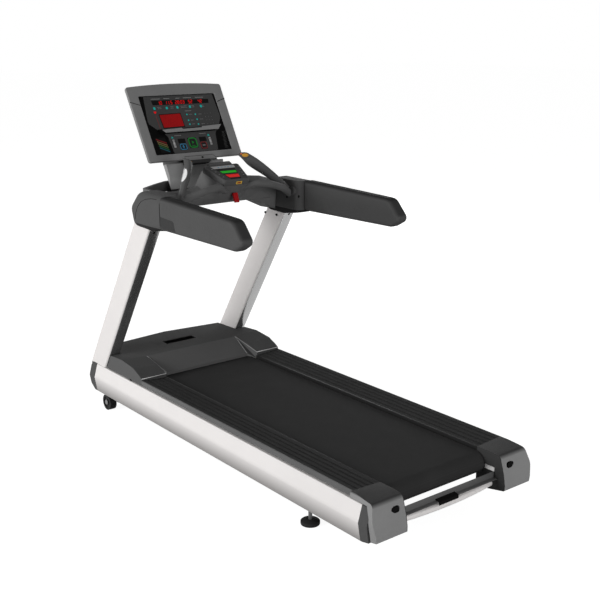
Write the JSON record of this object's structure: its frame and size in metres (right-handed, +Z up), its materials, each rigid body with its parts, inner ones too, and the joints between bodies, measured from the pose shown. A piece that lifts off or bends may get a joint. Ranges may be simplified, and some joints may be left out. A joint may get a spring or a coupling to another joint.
{
  "type": "treadmill",
  "caption": "Gym treadmill with a flat running belt between ribbed foot rails, leaning uprights, long padded arm rests, a tilted monitor on a mast, a small keypad console and curved hand grips.",
  "frame": {"origin": "on the floor, at the middle of the bounding box in plan", "axes": "+X to the runner's right, +Y forward from the rear step-off end to the monitor, +Z up"},
  "size_m": [0.888, 2.185, 1.6147],
  "materials": {
    "steel_black": "satin black powder coat",
    "panel_silver": "satin silver paint",
    "upright_silver": "satin silver paint",
    "cover_grey": "dark grey grained plastic",
    "cap_grey": "mid grey grained plastic",
    "foot_silver": "satin anodised",
    "tread_black": "ribbed matte",
    "belt_black": "fine weave matte",
    "deck_board": "waxed board",
    "cushion_rubber": "matte",
    "steel_bare": "turned",
    "zinc": "zinc plated",
    "tube_chrome": "satin bright",
    "wheel_black": "moulded matte",
    "arm_black": "soft grained foam",
    "shoulder_grey": "grey grained plastic",
    "dash_grey": "grey grained plastic",
    "bar_grey": "soft coating",
    "grip_black": "satin plastic",
    "sensor_steel": "fine brushed",
    "bezel_grey": "grey satin plastic",
    "back_grey": "grey grained plastic",
    "panel_black": "printed film",
    "pod_grey": "silver grey plastic",
    "keypad_black": "film",
    "key_green": "moulded",
    "key_red": "moulded",
    "key_blue": "moulded",
    "key_grey": "moulded",
    "key_amber": "moulded",
    "safety_red": "moulded",
    "socket_black": "moulded"
  },
  "bodies": {
    "base": {"arm_left": "arm_black", "arm_panels": "grip_black", "arm_right": "arm_black", "base_frame": "steel_black", "console_body": "pod_grey", "console_frame": "steel_black", "console_keypad": "keypad_black", "dashboard": "dash_grey", "deck": "deck_board", "deck_cushions": "cushion_rubber", "display_panel": "panel_black", "drive_belt": "belt_black", "drive_motor": "steel_black", "fasteners": "zinc", "foot_rails": "foot_silver", "foot_treads": "tread_black", "front_cover": "cover_grey", "grip_left": "grip_black", "grip_right": "grip_black", "handlebar": "bar_grey", "hood": "cover_grey", "lift_motor": "steel_bare", "mast_cover": "shoulder_grey", "monitor_back": "back_grey", "monitor_bezel": "bezel_grey", "motor_controller": "steel_bare", "panel_end_caps": "cap_grey", "power_inlet": "socket_black", "rear_bar": "steel_black", "rear_cap_left": "cap_grey", "rear_cap_right": "cap_grey", "rear_tube": "tube_chrome", "roller_axles": "steel_bare", "roller_brackets": "zinc", "running_belt": "belt_black", "sensor_plates": "sensor_steel", "shoulder_left": "shoulder_grey", "shoulder_right": "shoulder_grey", "side_panel_left": "panel_silver", "side_panel_right": "panel_silver", "upright_covers": "cover_grey", "upright_left": "upright_silver", "upright_right": "upright_silver"},
    "front_roller": {"front_roller": "steel_bare"},
    "rear_roller": {"rear_roller": "steel_bare"},
    "motor_rotor": {"motor_rotor": "steel_bare"},
    "lift": {"lift_frame": "steel_black"},
    "lift_screw": {"lift_screw": "steel_bare"},
    "wheel_left": {"front_wheel_left": "wheel_black"},
    "wheel_right": {"front_wheel_right": "wheel_black"},
    "leveler_left": {"leveler_left": "steel_bare"},
    "leveler_right": {"leveler_right": "steel_bare"},
    "start_button": {"start_button": "key_green"},
    "stop_button": {"stop_button": "key_red"},
    "enter_button": {"enter_button": "key_blue"},
    "incline_rocker": {"incline_rocker": "key_grey"},
    "speed_rocker": {"speed_rocker": "key_grey"},
    "grip_rocker_left": {"grip_rocker_left": "key_amber"},
    "grip_rocker_right": {"grip_rocker_right": "key_amber"},
    "safety_key": {"safety_key": "safety_red"}
  },
  "joints": [
    {"name": "front_roller_spin", "type": "hinge", "parent": "base", "child": "front_roller", "pos_m": [0, 0.63, 0.198], "axis": [1, 0, 0], "continuous": true},
    {"name": "rear_roller_spin", "type": "hinge", "parent": "base", "child": "rear_roller", "pos_m": [0, -0.944, 0.198], "axis": [1, 0, 0], "continuous": true},
    {"name": "motor_spin", "type": "hinge", "parent": "base", "child": "motor_rotor", "pos_m": [0, 0.85, 0.23], "axis": [1, 0, 0], "continuous": true},
    {"name": "lift_hinge", "type": "hinge", "parent": "base", "child": "lift", "pos_m": [0, 0.76, 0.115], "axis": [-1, 0, 0], "range_deg": [0, 55]},
    {"name": "lift_screw_slide", "type": "slide", "parent": "base", "child": "lift_screw", "axis": [0, 1, 0], "range_m": [0, 0.0836]},
    {"name": "wheel_left_spin", "type": "hinge", "parent": "lift", "child": "wheel_left", "pos_m": [-0.3729, 0.945, 0.04], "axis": [1, 0, 0], "continuous": true},
    {"name": "wheel_right_spin", "type": "hinge", "parent": "lift", "child": "wheel_right", "pos_m": [0.3729, 0.945, 0.04], "axis": [1, 0, 0], "continuous": true},
    {"name": "leveler_left_screw", "type": "slide", "parent": "base", "child": "leveler_left", "axis": [0, 0, -1], "range_m": [0, 0.015]},
    {"name": "leveler_right_screw", "type": "slide", "parent": "base", "child": "leveler_right", "axis": [0, 0, -1], "range_m": [0, 0.015]},
    {"name": "start_button_press", "type": "slide", "parent": "base", "child": "start_button", "axis": [0, 0.866, -0.5], "range_m": [0, 0.0012], "stiffness_N_per_m": 400, "springref_m": -0.001},
    {"name": "stop_button_press", "type": "slide", "parent": "base", "child": "stop_button", "axis": [0, 0.866, -0.5], "range_m": [0, 0.0012], "stiffness_N_per_m": 400, "springref_m": -0.001},
    {"name": "enter_button_press", "type": "slide", "parent": "base", "child": "enter_button", "axis": [0, 0.866, -0.5], "range_m": [0, 0.0012], "stiffness_N_per_m": 400, "springref_m": -0.001},
    {"name": "incline_rocker_tilt", "type": "hinge", "parent": "base", "child": "incline_rocker", "pos_m": [-0.098, 0.69233, 1.34481], "axis": [1, 0, 0], "range_deg": [-4, 4], "stiffness_Nm_per_rad": 0.05},
    {"name": "speed_rocker_tilt", "type": "hinge", "parent": "base", "child": "speed_rocker", "pos_m": [0.106, 0.69233, 1.34481], "axis": [1, 0, 0], "range_deg": [-4, 4], "stiffness_Nm_per_rad": 0.05},
    {"name": "grip_rocker_left_press", "type": "slide", "parent": "base", "child": "grip_rocker_left", "axis": [-0.4815, 0.0803, -0.8728], "range_m": [0, 0.0012], "stiffness_N_per_m": 400, "springref_m": -0.001},
    {"name": "grip_rocker_right_press", "type": "slide", "parent": "base", "child": "grip_rocker_right", "axis": [0.4815, 0.0803, -0.8728], "range_m": [0, 0.0012], "stiffness_N_per_m": 400, "springref_m": -0.001},
    {"name": "safety_key_pull", "type": "slide", "parent": "base", "child": "safety_key", "axis": [0, -1, 0], "range_m": [0, 0.02]}
  ],
  "couplings": [
    {"joint": "motor_spin", "follows": "front_roller_spin", "ratio": 1.2667},
    {"joint": "rear_roller_spin", "follows": "front_roller_spin", "ratio": 1},
    {"joint": "lift_screw_slide", "follows": "lift_hinge", "m_per_rad": 0.0868}
  ]
}
